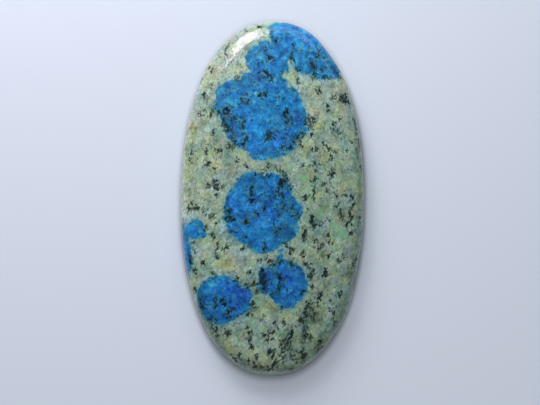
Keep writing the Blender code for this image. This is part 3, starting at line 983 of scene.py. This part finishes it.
def mica_cover(tree, place):
    """Where mica shows: the placed flakes in crumbs that thin out round them, and strays. The
    side and the back, where none are placed, have more strays."""
    drawn = along_grain(tree, place, 0.74, 0.3)
    crumb = noise(tree, askew(tree, drawn), 0.17, 2.0, 9, 0.6)
    ragged = noise(tree, drawn, 0.36, 2.0, 14) * 1.0 + 0.04
    swarm = noise(tree, along_grain(tree, place, 0.7, 0.3), 1.7, 2.0, 29).rise(0.0, 0.16)
    near = (stored(tree, "mica") + ragged) * 0.42
    low = parts_of(tree, place)[2].fall(2.2, 3.6)
    bare = stored(tree, "bare")
    bar = near.within(-0.25, 0.222 - swarm * 0.06 - low * 0.045 + bare * 0.12)
    black = (crumb - bar).rise(-0.055, 0.08)
    grey = (crumb - bar).rise(-0.14, 0.0)
    return black, grey


def azurite_colour(tree, place):
    """The blue, royal in its depth and teal at its rim, with olive and dark crumbs in it."""
    tone, _, seam = mosaic(tree, place, 0.45)
    soft = noise(tree, place, 0.6, 4.0, 51, 0.62)
    slanted = askew(tree, place)
    shade = tone * 0.25 + soft * 2.2 + noise(tree, slanted, 0.15, 1.0, 7) * 0.6 + 0.56
    colour = ramp(tree, shade, (
        (0.0, (10, 50, 88)),
        (0.25, (18, 76, 130)),
        (0.5, (26, 97, 157)),
        (0.75, (33, 116, 172)),
        (1.0, (52, 143, 191)),
    ))
    colour = layer(tree, colour, paint(20, 60, 98), seam * 0.15)
    depth = stored(tree, "azurite").rise(-1.2, -0.05)
    mood = stored(tree, "royal") + noise(tree, place, 0.75, 4.0, 88, 0.62) * 3.0
    royal, cyan = mood.within(0, 1.9), (mood * -1).within(0, 1.2)
    colour = tinted(
        tree,
        colour,
        royal * -0.05 - depth * 0.05,
        cyan * 0.16 - royal * 0.2 + depth * 0.01,
        cyan * 0.06 + royal * 0.12 - depth * 0.15,
    )
    thread = abs(noise(tree, place, 0.9, 3.0, 23, 0.6)).fall(0.0, 0.022)
    there = noise(tree, place, 1.3, 1.0, 28).rise(0.0, 0.1)
    colour = layer(tree, colour, paint(82, 140, 90), thread * there * 0.6)
    swarm = noise(tree, place, 1.2, 3.0, 66).rise(0.02, 0.2) * 0.7 + depth * 0.2
    swarm = swarm + stored(tree, "crumbs") * 0.8
    olive = (noise(tree, slanted, 0.3, 3.0, 94, 0.6) + swarm * 0.14).rise(0.07, 0.24)
    colour = layer(tree, colour, paint(68, 116, 80), olive * 0.6)
    dark = (noise(tree, slanted, 0.24, 3.0, 77, 0.6) + swarm * 0.16).rise(0.13, 0.23)
    colour = layer(tree, colour, paint(5, 34, 50), dark * 0.85)
    lift = stored(tree, "brightness") * 0.36
    return tinted(tree, colour, lift * 0.6, lift, lift)


def azurite_rim(tree, place):
    """How far outside the azurite a place is. Its rim follows the grains, so it is ragged."""
    coarse = noise(tree, place, 1.3, 1.0, 19) * 1.0
    fine = noise(tree, place, 0.34, 3.0, 33, 0.65) * 1.5
    return stored(tree, "azurite") + coarse + fine


def colour_the_rock():
    rock.use_nodes = True
    tree = rock.node_tree
    shader = tree.nodes["Principled BSDF"]
    place = scaled(tree, tree.nodes.new("ShaderNodeTexCoord").outputs["Object"], 1 / MM)

    granite = granite_colour(tree, place)
    black, grey = mica_cover(tree, place)
    patchy = noise(tree, place, 0.4, 3.0, 12, 0.6)
    rust = (stored(tree, "rust") * 1.2 + patchy * 2).rise(0.3, 1.0)
    granite = layer(tree, granite, paint(164, 168, 108), rust * 0.65)
    straw = noise(tree, place, 0.45, 2.0, 52).rise(0.12, 0.26)
    granite = layer(tree, granite, paint(156, 170, 108), straw * 0.5)
    green = (stored(tree, "green") * 1.2 + patchy * 3).rise(0.25, 1.1)
    granite = layer(tree, granite, paint(88, 152, 112), green * 0.75)
    granite = layer(tree, granite, paint(66, 88, 86), grey * 0.55)
    solid = noise(tree, place, 0.3, 2.0, 17) * 1.6 + 0.95
    black = black * solid.within(0.6, 0.98)
    brown = noise(tree, place, 1.0, 2.0, 83).rise(-0.05, 0.2)
    flake = layer(tree, paint(14, 30, 34), paint(46, 44, 30), brown)
    granite = layer(tree, granite, flake, black)

    away = azurite_rim(tree, place)
    inside = away.fall(-0.07, 0.07)
    halo = stored(tree, "azurite").fall(0.0, 1.3)
    granite = tinted(tree, granite, halo * -0.14, 0, halo * 0.12)
    fringe = away.fall(0.0, 0.35)
    granite = layer(tree, granite, paint(74, 122, 130), fringe * 0.5)
    blue = azurite_colour(tree, place)
    blue = layer(tree, blue, paint(36, 74, 80), grey * 0.55)
    blue = layer(tree, blue, paint(8, 26, 32), black)
    colour = layer(tree, granite, blue, inside)
    pit = stored(tree, "pit")
    colour = tinted(tree, colour, pit * -0.45, pit * -0.42, pit * -0.4)
    feed(tree, colour, shader.inputs["Base Color"])

    height = parts_of(tree, place)[2]
    rough = 0.14 + inside * 0.03 + black * 0.02 + pit * (0.3 - inside * 0.25)
    rough = rough + height.fall(0.0, 0.12) * 0.35
    feed(tree, rough, shader.inputs["Roughness"])
    shader.inputs["IOR"].default_value = 1.5
    bump = tree.nodes.new("ShaderNodeBump")
    bump.inputs["Distance"].default_value = 0.000018
    peel = noise(tree, place, 0.16, 2.0, 64)
    feed(tree, patchy + peel * 0.35 - black * (0.3 - inside * 0.2), bump.inputs["Height"])
    feed(tree, bump.outputs[0], shader.inputs["Normal"])


colour_the_rock()
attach(stone, "root")
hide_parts("cabochon")


# The stone lies on a plain pale floor, in soft light from windows beyond its upper end.
scene = bpy.context.scene
scene.view_settings.view_transform = "Standard"

FLOOR_SIZE = 2.0
sheet = bpy.data.meshes.new("floor")
half = FLOOR_SIZE / 2
corners = ((-half, -half, 0), (half, -half, 0), (half, half, 0), (-half, half, 0))
sheet.from_pydata(corners, (), ((0, 1, 2, 3),))
floor = bpy.data.objects.new("floor", sheet)
scene.collection.objects.link(floor)
floor_material = bpy.data.materials.new("floor")
floor_material.use_nodes = True
floor_shader = floor_material.node_tree.nodes["Principled BSDF"]
floor_shader.inputs["Base Color"].default_value = (0.4, 0.43, 0.5, 1)
floor_shader.inputs["Roughness"].default_value = 1.0
floor_shader.inputs["Specular IOR Level"].default_value = 0.0
# The floor glows a little of itself. The glow fades towards the stone's rim, which paints a contact shadow
# round the stone.
floor_shader.inputs["Emission Color"].default_value = (0.36, 0.405, 0.48, 1)
floor_nodes = floor_material.node_tree
floor_place = floor_nodes.nodes.new("ShaderNodeTexCoord").outputs["Object"]
floor_x, floor_y, _ = parts_of(floor_nodes, scaled(floor_nodes, floor_place, 2 / WIDTH))
slimness = WIDTH / LENGTH
from_rim = (abs(floor_x) ** 2.2 + abs(floor_y * slimness) ** 2.2) ** (1 / 2.2) - 1
glow_and_painted_shadow = from_rim.rise(-0.01, 0.05) * 0.48 + 0.1
feed(floor_nodes, glow_and_painted_shadow, floor_shader.inputs["Emission Strength"])
sheet.materials.append(floor_material)

world = bpy.data.worlds.new("room")
scene.world = world
world.use_nodes = True
world.node_tree.nodes["Background"].inputs["Color"].default_value = (0.85, 0.93, 1, 1)
world.node_tree.nodes["Background"].inputs["Strength"].default_value = 0.06


def window(name, place, across, up, power, colour, lean=0):
    """A rectangle of soft light that faces the stone. It may lean, in degrees."""
    data = bpy.data.lights.new(name, "AREA")
    data.shape = "RECTANGLE"
    data.size = across * MM
    data.size_y = up * MM
    data.energy = power
    data.color = colour
    lamp = bpy.data.objects.new(name, data)
    scene.collection.objects.link(lamp)
    lamp.location = Vector(place) * MM
    lamp.rotation_mode = "QUATERNION"
    facing = (Vector((0, 0, 4)) - Vector(place)).to_track_quat("-Z", "Y")
    lamp.rotation_quaternion = facing @ Quaternion((0, 0, 1), math.radians(lean))
    return lamp


window("window", (-52, 125, 100), 46, 100, 0.185, (1, 0.96, 1))
window("bright wall", (-25, 165, 105), 240, 110, 0.11, (1, 1, 0.98))
window("far window", (115, 172, 215), 135, 12, 0.045, (0.96, 0.98, 1), 22)
for name, place, power in (("upper fill", (-60, 150, 120), 0.3), ("fill", (10, -160, 170), 0.125)):
    fill = window(name, place, 260, 200, power, (1, 1, 0.97))
    fill.visible_glossy = False
